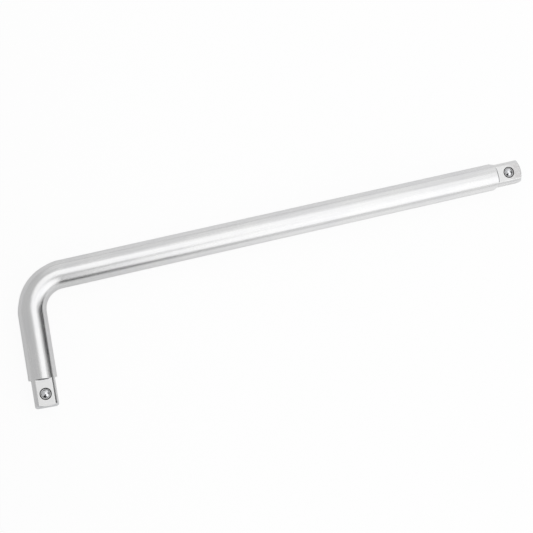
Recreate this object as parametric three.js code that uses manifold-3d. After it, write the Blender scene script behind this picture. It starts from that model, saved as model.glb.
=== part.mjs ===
// Lug wrench handle: one round bar bent a little past square into an L, with a milled male square drive at
// each end and a spring-loaded ball staked into the upper flat of each drive, which holds the socket on.
//
// Millimetres, +Z up. The wrench lies flat: both leg axes are in the plane Z = 0, and the balls point up.
// The origin is the centre of the short drive's end face. The short leg runs along +Y from there, and the
// long leg leaves the bend towards +X.
import * as THREE from 'three';
import { mergeVertices } from 'three/addons/utils/BufferGeometryUtils.js';
import Module from 'manifold-3d';

// Bar and bend
const BAR_DIAMETER = 15.5;
const LONG_LEG_LENGTH = 291.5; // from the crossing of the two leg axes to the long drive's end face
const SHORT_LEG_LENGTH = 69; // from the same crossing to the short drive's end face
const BEND_RADIUS = 19; // of the bar's axis
const LEG_ANGLE = 94; // degrees between the legs
const BEND_FLATTENING = 0.45; // how far the bending drew in the bar's stretched outer side
const BEND_LEAD_SHARE = 0.2; // share of the bend over which that sets in at either end

// Square drives
const DRIVE_SIZE = 12.65; // across the flats
const LONG_DRIVE_LENGTH = 15.4; // end face to the foot of the shoulder
const SHORT_DRIVE_LENGTH = 15.5;
const SIDE_SHOULDER_RUN = 2; // how far the long drive's side shoulders slope back from foot to bar
const SQUARE_SHOULDER_RUN = 0.1; // its upper and lower shoulders and the short drive's are all but square
const SHOULDER_FILLET = 0.6; // radius at the shoulder's foot
const END_CHAMFER_LENGTH = 0.62; // of the turned chamfer, measured in the middle of a flat
const END_CHAMFER_ANGLE = 62.5; // degrees between the chamfer and the drive's axis

// Detent hole, with the ring that a punch leaves round it and the lip that the punch pushes inwards
const LONG_BALL_SETBACK = 8.1; // end face to the ball's axis
const SHORT_BALL_SETBACK = 7.4;
const HOLE_FLOOR = 2.35; // steel left between the drill point and the lower flat
const DRILL_POINT_ANGLE = 118; // degrees
const LIP_TOP_DEPTH = 0.05; // the lip's crest below the flat
const LIP_EDGE_DEPTH = 0.1; // top of the lip's inner edge below the flat
const LIP_SEAT_DEPTH = 0.26; // foot of the lip's inner edge, where the ball bears
const LIP_ROOT_DEPTH = 0.78; // where the hole has its full bore again
const LIP_WIDTH = 0.28; // inner edge to crest
const STAKE_WIDTH = 0.46; // crest to the punched ring's outer edge
const STAKE_DEPTH = 0.4;

// Ball and spring
const BALL_DIAMETER = 5.556;
const BALL_STAND_OUT = 1.1; // how far the ball stands proud of the flat at rest
const BALL_CLEARANCE = 0.07; // ball to bore, on the radius
const WIRE_DIAMETER = 0.5;
const SPRING_CLEARANCE = 0.3; // coil to bore, on the radius
const SEAT_GAP = 0.04; // ball to lip, spring to ball and spring to the drill point
const SPRING_COILS = 5;

// One overrun carries every cut past the surface that it opens
const OVERRUN = 1;

// Facets
const BAR_SIDES = 48;
const BEND_STEPS = 24;
const FILLET_STEPS = 3;
const HOLE_SIDES = 32;
const BALL_DETAIL = 4;
const COIL_STEPS = 8;
const WIRE_SIDES = 5;

// Sizes that follow from the ones above
const barRadius = BAR_DIAMETER / 2;
const halfDrive = DRIVE_SIZE / 2;
const ballRadius = BALL_DIAMETER / 2;
const holeRadius = ballRadius + BALL_CLEARANCE;
const ballDepth = ballRadius - BALL_STAND_OUT; // the ball's centre below the flat
const ballRadiusAtLip = Math.sqrt(ballRadius ** 2 - (ballDepth - LIP_SEAT_DEPTH) ** 2);
const lipRadius = ballRadiusAtLip + SEAT_GAP;
const crestRadius = lipRadius + LIP_WIDTH;
const stakeRadius = crestRadius + STAKE_WIDTH;
const drillPointSlope = Math.tan(THREE.MathUtils.degToRad(90 - DRILL_POINT_ANGLE / 2));
const boreDepth = DRIVE_SIZE - HOLE_FLOOR - holeRadius * drillPointSlope;
const bendTurn = THREE.MathUtils.degToRad(180 - LEG_ANGLE);

const satinChrome = new THREE.MeshStandardMaterial({ color: 0xd4d5d6, roughness: 0.28, metalness: 1 });
const ballSteel = new THREE.MeshStandardMaterial({ color: 0xc3c5c8, roughness: 0.06, metalness: 1 });
const springSteel = new THREE.MeshStandardMaterial({ color: 0x83868a, roughness: 0.35, metalness: 1 });

const wasm = await Module();
wasm.setup();

// A closed geometry as a solid that can be joined and cut
function solidOf(geometry) {
  geometry.deleteAttribute('normal');
  geometry.deleteAttribute('uv');
  const merged = mergeVertices(geometry);
  const vertProperties = new Float32Array(merged.attributes.position.array);
  const triVerts = new Uint32Array(merged.index.array);
  return new wasm.Manifold(new wasm.Mesh({ numProp: 3, vertProperties, triVerts }));
}

// A solid back as a geometry
function geometryOf(solid) {
  const mesh = solid.getMesh();
  const geometry = new THREE.BufferGeometry();
  geometry.setAttribute('position', new THREE.BufferAttribute(mesh.vertProperties, mesh.numProp));
  geometry.setIndex(new THREE.BufferAttribute(mesh.triVerts, 1));
  geometry.computeVertexNormals();
  return geometry;
}

// A regular outline whose sides, not its corners, face the axes
function roundOutline(radius, sides) {
  const points = [];
  for (let i = 0; i < sides; i += 1) {
    const angle = ((i + 0.5) / sides) * 2 * Math.PI;
    points.push(new THREE.Vector2(radius * Math.cos(angle), radius * Math.sin(angle)));
  }
  return new THREE.Shape(points);
}

// The bar's axis, with a section at both ends of each straight leg and at even steps round the bend
class BarAxis extends THREE.Curve {
  constructor() {
    super();
    const reach = BEND_RADIUS * Math.tan(bendTurn / 2);
    const corner = new THREE.Vector3(0, SHORT_LEG_LENGTH, 0);
    const centre = new THREE.Vector3(BEND_RADIUS, SHORT_LEG_LENGTH - reach, 0);
    this.bendCentre = centre;
    this.sections = [{ point: new THREE.Vector3(0, 0, 0), tangent: new THREE.Vector3(0, 1, 0) }];
    for (let i = 0; i <= BEND_STEPS; i += 1) {
      const turned = (bendTurn * i) / BEND_STEPS;
      const tangent = new THREE.Vector3(Math.sin(turned), Math.cos(turned), 0);
      const outward = new THREE.Vector3(-Math.cos(turned), Math.sin(turned), 0);
      this.sections.push({ point: centre.clone().addScaledVector(outward, BEND_RADIUS), tangent });
    }
    const along = this.sections[this.sections.length - 1].tangent;
    this.sections.push({ point: corner.addScaledVector(along, LONG_LEG_LENGTH), tangent: along });
  }

  get steps() {
    return this.sections.length - 1;
  }

  getPointAt(share) {
    return this.sections[Math.round(share * this.steps)].point.clone();
  }

  getTangentAt(share) {
    return this.sections[Math.round(share * this.steps)].tangent.clone();
  }
}

const barAxis = new BarAxis();

// Each drive is made in a frame of its own: the origin in the centre of its end face, +X out of that face
// along the leg, and +Z out of the flat that holds the ball
const drives = {
  long: {
    length: LONG_DRIVE_LENGTH,
    shoulderRuns: { face: SQUARE_SHOULDER_RUN, side: SIDE_SHOULDER_RUN },
    ballSetback: LONG_BALL_SETBACK,
    place: driveFrame(barAxis.getPointAt(1), barAxis.getTangentAt(1)),
  },
  short: {
    length: SHORT_DRIVE_LENGTH,
    shoulderRuns: { face: SQUARE_SHOULDER_RUN, side: SQUARE_SHOULDER_RUN },
    ballSetback: SHORT_BALL_SETBACK,
    place: driveFrame(barAxis.getPointAt(0), barAxis.getTangentAt(0).negate()),
  },
};

function driveFrame(endCentre, outward) {
  const up = new THREE.Vector3(0, 0, 1);
  const across = new THREE.Vector3().crossVectors(up, outward);
  return new THREE.Matrix4().makeBasis(outward, across, up).setPosition(endCentre);
}

// The round bar, bent, before anything is cut. The outer side of the bend is drawn in towards the axis
function bentBar() {
  const outline = roundOutline(barRadius, BAR_SIDES);
  const geometry = new THREE.ExtrudeGeometry(outline, { steps: barAxis.steps, extrudePath: barAxis });
  const position = geometry.attributes.position;
  const { x: centreX, y: centreY } = barAxis.bendCentre;
  for (let i = 0; i < position.count; i += 1) {
    const armX = position.getX(i) - centreX;
    const armY = position.getY(i) - centreY;
    const arm = Math.hypot(armX, armY);
    const bendShare = THREE.MathUtils.clamp(Math.atan2(armY, -armX) / bendTurn, 0, 1);
    const outside = Math.max(0, arm - BEND_RADIUS) / barRadius;
    const drawnIn = outside * BEND_FLATTENING * leadIn(bendShare) * leadIn(1 - bendShare);
    const scale = (arm - drawnIn) / arm;
    position.setXY(i, centreX + armX * scale, centreY + armY * scale);
  }
  return solidOf(geometry);
}

// Rises smoothly from 0 to 1 over the first part of the bend
function leadIn(bendShare) {
  return THREE.MathUtils.smoothstep(bendShare, 0, BEND_LEAD_SHARE);
}

// What a cutter takes off above one flat: the flat, a fillet at the shoulder's foot, and the shoulder
function flatCutter(drive, shoulderRun) {
  const rise = barRadius - halfDrive;
  const slope = Math.atan2(rise, shoulderRun);
  const top = barRadius + OVERRUN;
  const topSetback = drive.length + (shoulderRun * (top - halfDrive)) / rise;
  const filletX = SHOULDER_FILLET * Math.tan(slope / 2) - drive.length;
  const side = new THREE.Shape();
  side.moveTo(OVERRUN, halfDrive);
  side.lineTo(OVERRUN, top);
  side.lineTo(-topSetback, top);
  const foot = -Math.PI / 2;
  side.absarc(filletX, halfDrive + SHOULDER_FILLET, SHOULDER_FILLET, foot - slope, foot, false);
  side.closePath();
  const cutter = new THREE.ExtrudeGeometry(side, {
    depth: 2 * top,
    bevelEnabled: false,
    curveSegments: FILLET_STEPS,
  });
  cutter.translate(0, 0, -top);
  cutter.rotateX(Math.PI / 2);
  return cutter;
}

// What a lathe takes off round the end face
function chamferCutter() {
  const slope = Math.tan(THREE.MathUtils.degToRad(END_CHAMFER_ANGLE));
  const endFaceRadius = halfDrive - END_CHAMFER_LENGTH * slope;
  const outer = barRadius + OVERRUN;
  const ring = [
    new THREE.Vector2(endFaceRadius - OVERRUN * slope, OVERRUN),
    new THREE.Vector2(outer, (endFaceRadius - outer) / slope),
    new THREE.Vector2(outer, OVERRUN),
    new THREE.Vector2(endFaceRadius - OVERRUN * slope, OVERRUN),
  ];
  const cutter = new THREE.LatheGeometry(ring, BAR_SIDES, Math.PI / BAR_SIDES);
  cutter.rotateZ(-Math.PI / 2);
  return cutter;
}

// The blind hole for ball and spring: punched ring, lip, bore and drill point, down from the flat
function detentCutter(drive) {
  const profile = [
    new THREE.Vector2(0, -boreDepth - holeRadius * drillPointSlope),
    new THREE.Vector2(holeRadius, -boreDepth),
    new THREE.Vector2(holeRadius, -LIP_ROOT_DEPTH),
    new THREE.Vector2(lipRadius, -LIP_SEAT_DEPTH),
    new THREE.Vector2(lipRadius, -LIP_EDGE_DEPTH),
    new THREE.Vector2(crestRadius, -LIP_TOP_DEPTH),
    new THREE.Vector2((crestRadius + stakeRadius) / 2, -STAKE_DEPTH),
    new THREE.Vector2(stakeRadius, 0),
    new THREE.Vector2(stakeRadius, OVERRUN),
    new THREE.Vector2(0, OVERRUN),
  ];
  const cutter = new THREE.LatheGeometry(profile, HOLE_SIDES);
  cutter.rotateX(Math.PI / 2);
  cutter.translate(-drive.ballSetback, 0, halfDrive);
  return cutter;
}

// The bar with both drives milled, chamfered and drilled
function handleBar() {
  let bar = bentBar();
  for (const drive of Object.values(drives)) {
    const cutters = [chamferCutter(), detentCutter(drive)];
    const { face, side } = drive.shoulderRuns;
    for (const [quarter, shoulderRun] of [face, side, face, side].entries()) {
      cutters.push(flatCutter(drive, shoulderRun).rotateX((quarter * Math.PI) / 2));
    }
    for (const cutter of cutters) {
      bar = bar.subtract(solidOf(cutter.applyMatrix4(drive.place)));
    }
  }
  const mesh = new THREE.Mesh(geometryOf(bar), satinChrome);
  mesh.name = 'handle_bar';
  return mesh;
}

// The ball at rest, pushed up against the lip
function detentBall(name, drive) {
  const mesh = new THREE.Mesh(new THREE.IcosahedronGeometry(ballRadius, BALL_DETAIL), ballSteel);
  mesh.name = name;
  mesh.position.set(-drive.ballSetback, 0, halfDrive - ballDepth);
  return mesh;
}

// The spring's wire: an even helix about Z, from its foot at Z = 0
class Helix extends THREE.Curve {
  constructor(radius, rise, coils) {
    super();
    this.radius = radius;
    this.rise = rise;
    this.coils = coils;
  }

  getPoint(share, target = new THREE.Vector3()) {
    const angle = share * this.coils * 2 * Math.PI;
    return target.set(this.radius * Math.cos(angle), this.radius * Math.sin(angle), this.rise * share);
  }
}

// The least gap between neighbouring coils, measured from point to point along the wire
function leastCoilGap(helix, steps, stepsPerCoil) {
  const points = helix.getSpacedPoints(steps);
  let least = Infinity;
  for (let i = 0; i < points.length; i += 1) {
    for (let j = i + stepsPerCoil / 2; j < points.length; j += 1) {
      least = Math.min(least, points[i].distanceTo(points[j]) - WIRE_DIAMETER);
    }
  }
  return least;
}

// The spring at rest, between the drill point and the ball
function detentSpring(name, drive) {
  const wireRadius = WIRE_DIAMETER / 2;
  const coilRadius = holeRadius - SPRING_CLEARANCE - wireRadius;
  const coneDepth = boreDepth + (holeRadius - coilRadius) * drillPointSlope;
  const coneTilt = Math.atan(drillPointSlope);
  const footDepth = coneDepth - (wireRadius + SEAT_GAP) / Math.cos(coneTilt);
  const bearing = ballRadius + SEAT_GAP + wireRadius;
  const headDepth = ballDepth + Math.sqrt(bearing ** 2 - coilRadius ** 2);
  const helix = new Helix(coilRadius, footDepth - headDepth, SPRING_COILS);
  const steps = SPRING_COILS * COIL_STEPS;
  console.log(`${name}: least gap between coils ${leastCoilGap(helix, steps, COIL_STEPS).toFixed(3)} mm`);
  const section = roundOutline(wireRadius, WIRE_SIDES);
  const geometry = new THREE.ExtrudeGeometry(section, { steps, extrudePath: helix });
  const mesh = new THREE.Mesh(geometry, springSteel);
  mesh.name = name;
  mesh.position.set(-drive.ballSetback, 0, halfDrive - footDepth);
  return mesh;
}

// Ball and spring of one drive, in that drive's frame
function detent(name, drive) {
  const group = new THREE.Group();
  group.applyMatrix4(drive.place);
  group.add(detentBall(`${name}_end_ball`, drive), detentSpring(`${name}_end_spring`, drive));
  return group;
}

const wrench = new THREE.Group();
wrench.add(handleBar(), detent('long', drives.long), detent('short', drives.short));

export default wrench;
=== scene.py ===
"""Looks of the lug wrench handle: a bent round bar with a square drive and a sprung ball at each end.

The bar is drawn the way it is made. A straight blank is turned, milled, drilled and staked at both ends, and a
Geometry Nodes tree then bends it round the former. Metres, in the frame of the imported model: the origin is the
centre of the short drive's end face, the short leg runs along +Y, and the balls stand out of the flats towards +Z.
"""

import logging
import math
from collections.abc import Mapping, Sequence
from dataclasses import dataclass, field
from enum import Enum, IntEnum
from functools import cached_property
from typing import ClassVar

import bmesh
import bpy
import numpy as np
from mathutils import Matrix, Vector


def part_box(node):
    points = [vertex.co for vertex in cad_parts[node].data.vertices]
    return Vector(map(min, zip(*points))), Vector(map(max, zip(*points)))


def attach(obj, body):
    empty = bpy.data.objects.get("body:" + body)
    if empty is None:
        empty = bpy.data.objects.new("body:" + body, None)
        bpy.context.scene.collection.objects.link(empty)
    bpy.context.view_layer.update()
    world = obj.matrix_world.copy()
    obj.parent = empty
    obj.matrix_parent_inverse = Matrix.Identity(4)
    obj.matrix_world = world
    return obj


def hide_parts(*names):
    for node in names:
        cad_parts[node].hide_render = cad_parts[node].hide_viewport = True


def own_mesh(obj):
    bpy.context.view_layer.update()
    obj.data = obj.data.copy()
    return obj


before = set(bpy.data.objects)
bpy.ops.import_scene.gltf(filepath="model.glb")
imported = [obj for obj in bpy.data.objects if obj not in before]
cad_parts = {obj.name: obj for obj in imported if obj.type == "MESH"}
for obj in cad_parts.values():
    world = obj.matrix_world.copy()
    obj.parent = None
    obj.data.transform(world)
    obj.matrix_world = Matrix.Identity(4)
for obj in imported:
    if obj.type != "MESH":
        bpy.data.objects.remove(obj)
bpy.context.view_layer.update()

LOG = logging.getLogger("lug_wrench")
MM = 0.001
TINY = 1e-9

Material = bpy.types.Material
Node = bpy.types.Node
Piece = bpy.types.Object
Place = tuple[float, float, float]
Socket = bpy.types.NodeSocket
Range = tuple[float | Socket, float | Socket]
Tree = bpy.types.NodeTree


class Surface(IntEnum):
    """How each stretch of the bar's surface was made, which is also its material's place on the bar."""

    GROUND = 0
    MILLED = 1
    TURNED = 2
    # The punch's groove and the inside of the ball's hole, which carry painted shade.
    PUNCHED = 3
    # The inside corner at each shoulder's foot, which carries painted shade.
    CORNER = 4


class End(Enum):
    """The two drives, by the leg that carries them."""

    SHORT = "short"
    LONG = "long"


def linear(hex_colour: str) -> tuple[float, float, float, float]:
    """Turn an sRGB hex colour into the linear colour that a socket takes.

    Args:
        hex_colour: Six hex digits, with or without a leading hash.

    Returns:
        Linear red, green and blue, and an alpha of one.
    """
    digits = hex_colour.lstrip("#")
    shares = [int(digits[i : i + 2], 16) / 255 for i in (0, 2, 4)]
    channels = [s / 12.92 if s <= 0.04045 else ((s + 0.055) / 1.055) ** 2.4 for s in shares]
    return channels[0], channels[1], channels[2], 1.0


def feed(tree: Tree, node: Node, inputs: Mapping[str | int, object]) -> None:
    """Give a node's inputs what they take.

    Args:
        tree: The tree that holds the node.
        node: The node.
        inputs: For an input, by name or place, either a value or the output socket that feeds it.
    """
    for key, value in inputs.items():
        if isinstance(value, Socket):
            tree.links.new(value, node.inputs[key])
        else:
            node.inputs[key].default_value = value


def add_node(tree: Tree, kind: str, inputs: Mapping[str | int, object] | None = None, **settings: object) -> Node:
    """Add one node, with its settings and what its inputs take.

    Args:
        tree: The tree that gets the node.
        kind: Blender's type name of the node.
        inputs: What its inputs take, by name or place.
        **settings: Properties of the node itself.

    Returns:
        The new node.
    """
    node = tree.nodes.new(kind)
    for name, value in settings.items():
        setattr(node, name, value)
    feed(tree, node, inputs or {})
    return node


def computed(tree: Tree, operation: str, *values: float | Socket) -> Socket:
    """Add one step of arithmetic and give its result."""
    return add_node(tree, "ShaderNodeMath", dict(enumerate(values)), operation=operation).outputs[0]


def ranged(tree: Tree, value: Socket, source: Range, target: Range = (0.0, 1.0), smooth: bool = False) -> Socket:
    """Map one range of a value onto another.

    Args:
        tree: The tree.
        value: The value to map.
        source: The range that it comes from.
        target: The range that it goes to, and stays in.
        smooth: Whether it sets off and arrives gently.

    Returns:
        The mapped value.
    """
    ends = {"From Min": source[0], "From Max": source[1], "To Min": target[0], "To Max": target[1]}
    kind = "SMOOTHSTEP" if smooth else "LINEAR"
    return add_node(tree, "ShaderNodeMapRange", {"Value": value} | ends, interpolation_type=kind).outputs["Result"]


def around(tree: Tree, value: Socket, middle: float, spread: float, source: Range) -> Socket:
    """Map a range of a value onto one that lies evenly round a middle."""
    return ranged(tree, value, source, (middle - spread / 2, middle + spread / 2))


def tinted(tree: Tree, share: Socket, low: str | Socket, high: str | Socket) -> Socket:
    """Mix two colours.

    Args:
        tree: The tree.
        share: The second colour's share.
        low: The first colour, as hex digits or a socket.
        high: The second colour.

    Returns:
        The mixed colour.
    """
    first, second = (c if isinstance(c, Socket) else linear(c) for c in (low, high))
    mixed = add_node(tree, "ShaderNodeMix", {"Factor": share, "A": first, "B": second}, data_type="RGBA")
    return mixed.outputs["Result"]


def noise(tree: Tree, place: Socket, size: float, detail: float, roughness: float = 0.5) -> Socket:
    """Add a noise.

    Args:
        tree: The tree.
        place: The coordinates that it lies in.
        size: Width of one blotch.
        detail: How many finer layers it has.
        roughness: How strong the finer layers are.

    Returns:
        The noise, from 0 to 1.
    """
    inputs = {"Vector": place, "Scale": 1 / size, "Detail": detail, "Roughness": roughness}
    return add_node(tree, "ShaderNodeTexNoise", inputs).outputs["Fac"]


def stretched(tree: Tree, place: Socket, lengths: Place) -> Socket:
    """Scale coordinates so that each axis's given length becomes one unit."""
    scale = tuple(1 / length for length in lengths)
    return add_node(tree, "ShaderNodeVectorMath", {0: place, 1: scale}, operation="MULTIPLY").outputs[0]


def bumped(tree: Tree, height: Socket, distance: float, strength: float) -> Socket:
    """Tilt the surface by a height map, and give the tilted normal."""
    inputs = {"Strength": strength, "Distance": distance, "Height": height}
    return add_node(tree, "ShaderNodeBump", inputs).outputs["Normal"]


def blank_place(tree: Tree) -> Socket:
    """Give a point's place on the straight blank, so that a pattern follows the bar round its bend."""
    kept = add_node(tree, "ShaderNodeAttribute", attribute_name="blank", attribute_type="GEOMETRY")
    return kept.outputs["Vector"]


def object_place(tree: Tree) -> Socket:
    """Give a point's place in its object's own coordinates."""
    return add_node(tree, "ShaderNodeTexCoord").outputs["Object"]


def new_material(name: str) -> tuple[Material, Tree, Node]:
    """Start a node material that holds nothing but its shader.

    Args:
        name: The material's name.

    Returns:
        The material, its tree and its Principled shader.
    """
    material = bpy.data.materials.new(name)
    material.use_nodes = True
    tree = material.node_tree
    tree.nodes.clear()
    shader = add_node(tree, "ShaderNodeBsdfPrincipled")
    add_node(tree, "ShaderNodeOutputMaterial", {"Surface": shader.outputs["BSDF"]})
    return material, tree, shader


def new_geometry_tree(name: str, inputs: Sequence[tuple[str, str]]) -> tuple[Tree, Node]:
    """Start a Geometry Nodes tree with named inputs and one geometry output.

    Args:
        name: The tree's name.
        inputs: Name and socket type of each input after the geometry.

    Returns:
        The tree and its input node.
    """
    tree = bpy.data.node_groups.new(name, "GeometryNodeTree")
    tree.interface.new_socket("Geometry", in_out="INPUT", socket_type="NodeSocketGeometry")
    for label, kind in inputs:
        tree.interface.new_socket(label, in_out="INPUT", socket_type=kind)
    tree.interface.new_socket("Geometry", in_out="OUTPUT", socket_type="NodeSocketGeometry")
    return tree, add_node(tree, "NodeGroupInput")


def run_tree(piece: Piece, tree: Tree, values: Mapping[str, object]) -> None:
    """Put a Geometry Nodes modifier on a piece and set its inputs by their identifiers.

    Args:
        piece: The object that gets the modifier.
        tree: The tree to run.
        values: A value for each named input.
    """
    modifier = piece.modifiers.new(tree.name, "NODES")
    modifier.node_group = tree
    sockets = {s.name: s.identifier for s in tree.interface.items_tree if s.in_out == "INPUT"}
    for label, value in values.items():
        modifier[sockets[label]] = value


def made_plain(piece: Piece, materials: Sequence[Material]) -> None:
    """Replace a piece's live modifiers with the mesh that they make.

    Args:
        piece: The object with its modifiers.
        materials: The piece's materials, in the order of its faces' material places.
    """
    bpy.context.view_layer.update()
    evaluated = piece.evaluated_get(bpy.context.evaluated_depsgraph_get())
    mesh = bpy.data.meshes.new_from_object(evaluated)
    mesh.name = piece.name
    places = np.zeros(len(mesh.polygons), np.int32)
    mesh.polygons.foreach_get("material_index", places)
    order = np.array([materials.index(m) if m else 0 for m in mesh.materials], np.int32)
    mesh.materials.clear()
    for material in materials:
        mesh.materials.append(material)
    mesh.polygons.foreach_set("material_index", order[places])
    piece.modifiers.clear()
    piece.data = mesh


def new_piece(name: str, data: bpy.types.ID) -> Piece:
    """Make an object, at the origin and unturned.

    Args:
        name: The object's name.
        data: Its mesh, lamp or camera.

    Returns:
        The object, linked to the scene.
    """
    piece = bpy.data.objects.new(name, data)
    bpy.context.scene.collection.objects.link(piece)
    return piece


def smooth_mesh(mesh: bmesh.types.BMesh, name: str) -> bpy.types.Mesh:
    """Turn a finished mesh's faces outwards, shade them smooth and hand it over.

    Args:
        mesh: The mesh under work, which is freed.
        name: The new mesh's name.

    Returns:
        The mesh.
    """
    bmesh.ops.recalc_face_normals(mesh, faces=mesh.faces)
    for face in mesh.faces:
        face.smooth = True
    data = bpy.data.meshes.new(name)
    mesh.to_mesh(data)
    mesh.free()
    return data


@dataclass(frozen=True)
class MetalFinish:
    """What all the metal finishes share: a material of their name, fed by a pattern of their own."""

    material_name: ClassVar[str]

    def pattern(self, tree: Tree) -> dict[str, object]:
        """Draw the finish's pattern.

        Args:
            tree: The material's tree.

        Returns:
            What the shader's inputs take.
        """
        raise NotImplementedError

    def material(self) -> Material:
        """Build the material.

        Returns:
            A metal with the finish's pattern.
        """
        material, tree, shader = new_material(self.material_name)
        feed(tree, shader, {"Metallic": 1.0} | self.pattern(tree))
        return material


@dataclass(frozen=True)
class GroundBarChrome(MetalFinish):
    """Satin chrome over ground bar.

    The bar is ground and belt polished along its length before it is plated, so the plate keeps faint lines
    that run with the bar and follow it round the bend. They spread a reflection a little across the bar and
    leave its edge along the bar soft, which gives the long milky highlight.
    """

    material_name: ClassVar[str] = "satin_chrome_ground_bar"
    colour: str = "#DCDCDE"
    pale_colour: str = "#E8E8E7"
    roughness: float = 0.26
    roughness_spread: float = 0.06
    grain_width: float = 0.55 * MM  # real belt lines are finer: drawn as coarse as one pixel shows
    grain_length: float = 24 * MM
    grain_height: float = 0.004 * MM
    cloud_size: float = 16 * MM
    cloud_share: float = 0.4

    def pattern(self, tree: Tree) -> dict[str, object]:
        """Draw the belt lines and soft clouds.

        Args:
            tree: The material's tree.

        Returns:
            What the shader's inputs take.
        """
        blank = blank_place(tree)
        lines = stretched(tree, blank, (self.grain_width, self.grain_length, self.grain_width))
        grain = noise(tree, lines, size=1.0, detail=3.0, roughness=0.6)
        cloud = noise(tree, blank, size=self.cloud_size, detail=4.0, roughness=0.62)
        shares = {"Factor": self.cloud_share, "A": grain, "B": cloud}
        both = add_node(tree, "ShaderNodeMix", shares).outputs["Result"]
        return {
            "Base Color": tinted(tree, ranged(tree, both, (0.32, 0.68)), self.colour, self.pale_colour),
            "Roughness": around(tree, both, self.roughness, self.roughness_spread, source=(0.3, 0.7)),
            "Normal": bumped(tree, grain, self.grain_height, strength=0.6),
        }


@dataclass(frozen=True)
class MilledFlatChrome(MetalFinish):
    """Satin chrome over milled flats.

    A cutter has crossed each flat, and tumbling has worn its marks to shallow steps. They blur what the flat
    mirrors, so it shows one even pale tone with a faint speckle. Sockets have rubbed the tip of the long drive
    duller.
    """

    material_name: ClassVar[str] = "satin_chrome_milled_flat"
    colour: str = "#E1E1E1"
    pale_colour: str = "#ECECEC"
    roughness: float = 0.38
    roughness_spread: float = 0.08
    rubbed_colour: str = "#CCCACA"
    rubbed_stretch: Range = (343.5 * MM, 350 * MM)
    feed_step: float = 0.65 * MM
    mark_length: float = 5.85 * MM
    mark_height: float = 0.0025 * MM
    speckle: float = 0.9 * MM

    def pattern(self, tree: Tree) -> dict[str, object]:
        """Draw the cutter's marks, the speckle and the rubbed tip.

        Args:
            tree: The material's tree.

        Returns:
            What the shader's inputs take.
        """
        blank = blank_place(tree)
        crossed = stretched(tree, blank, (self.mark_length, self.feed_step, self.mark_length))
        marks = noise(tree, crossed, size=1.0, detail=2.0)
        speckle = noise(tree, blank, size=self.speckle, detail=5.0, roughness=0.65)
        along = add_node(tree, "ShaderNodeSeparateXYZ", {0: blank}).outputs["Y"]
        near_tip = ranged(tree, along, self.rubbed_stretch, smooth=True)
        patchy = ranged(tree, speckle, (0.4, 0.58), (0.2, 1.0))
        rubbed = computed(tree, "MULTIPLY", near_tip, patchy)
        plain = tinted(tree, speckle, self.colour, self.pale_colour)
        return {
            "Base Color": tinted(tree, rubbed, plain, self.rubbed_colour),
            "Roughness": around(tree, speckle, self.roughness, self.roughness_spread, source=(0.3, 0.7)),
            "Normal": bumped(tree, marks, self.mark_height, strength=0.5),
        }


@dataclass(frozen=True)
class TurnedEndChrome(MetalFinish):
    """Satin chrome over a turned end face and chamfer.

    The lathe tool leaves rings round the bar's axis. Each ring catches the light on one side, so the end face
    shows a faint fan and the chamfer a bright thread.
    """

    material_name: ClassVar[str] = "satin_chrome_turned_end"
    colour: str = "#DADBDE"
    pale_colour: str = "#E6E7E8"
    roughness: float = 0.28
    ring_pitch: float = 0.5 * MM
    ring_height: float = 0.004 * MM
    smear_size: float = 2.5 * MM

    def pattern(self, tree: Tree) -> dict[str, object]:
        """Draw the rings round the blank's axis, and smears.

        Args:
            tree: The material's tree.

        Returns:
            What the shader's inputs take.
        """
        blank = blank_place(tree)
        level = {0: blank, 1: (1.0, 0.0, 1.0)}
        across = add_node(tree, "ShaderNodeVectorMath", level, operation="MULTIPLY").outputs[0]
        distance = add_node(tree, "ShaderNodeVectorMath", {0: across}, operation="LENGTH").outputs["Value"]
        rings = computed(tree, "SINE", computed(tree, "MULTIPLY", distance, 2 * math.pi / self.ring_pitch))
        smear = noise(tree, blank, size=self.smear_size, detail=4.0)
        return {
            "Base Color": tinted(tree, smear, self.colour, self.pale_colour),
            "Roughness": self.roughness,
            "Normal": bumped(tree, rings, self.ring_height, strength=0.5),
        }


@dataclass(frozen=True)
class PaintedShadeChrome(MetalFinish):
    """Painted shade low down in a groove or a corner.

    The metal there is coloured dark and made dull, in blotches.
    """

    colour: str
    pale_colour: str
    roughness: float
    blotch: float
    roughness_spread: float = 0.16

    def place(self, tree: Tree) -> Socket:
        """Give the coordinates that the blotches lie in."""
        return object_place(tree)

    def pattern(self, tree: Tree) -> dict[str, object]:
        """Draw the blotches of the painted shade.

        Args:
            tree: The material's tree.

        Returns:
            What the shader's inputs take.
        """
        # Blotches of dark painted shade.
        shade_blotches = noise(tree, self.place(tree), size=self.blotch, detail=4.0, roughness=0.6)
        return {
            "Base Color": tinted(tree, shade_blotches, self.colour, self.pale_colour),
            "Roughness": around(tree, shade_blotches, self.roughness, self.roughness_spread, source=(0.0, 1.0)),
        }


@dataclass(frozen=True)
class GrooveShadeChrome(PaintedShadeChrome):
    """Painted shade in the groove that the staking punch leaves and down inside the hole: a thin dark line round
    the ball.
    """

    material_name: ClassVar[str] = "thin_chrome_punched_ring"
    # Near-black painted shade for the groove and the hole.
    colour: str = "#161617"
    pale_colour: str = "#2E2F31"
    roughness: float = 0.34
    blotch: float = 0.7 * MM


@dataclass(frozen=True)
class CornerShadeChrome(PaintedShadeChrome):
    """Painted shade in the inside corner at a shoulder's foot: a narrow dark, dull line, blotched along its
    length.
    """

    material_name: ClassVar[str] = "thin_chrome_shoulder_corner"
    # Dark grey painted shade for the corner.
    colour: str = "#6E7073"
    pale_colour: str = "#A4A6A9"
    roughness: float = 0.42
    blotch: float = 1.6 * MM

    def place(self, tree: Tree) -> Socket:
        """Give the coordinates that the blotches lie in, which follow the blank."""
        return blank_place(tree)


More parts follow.
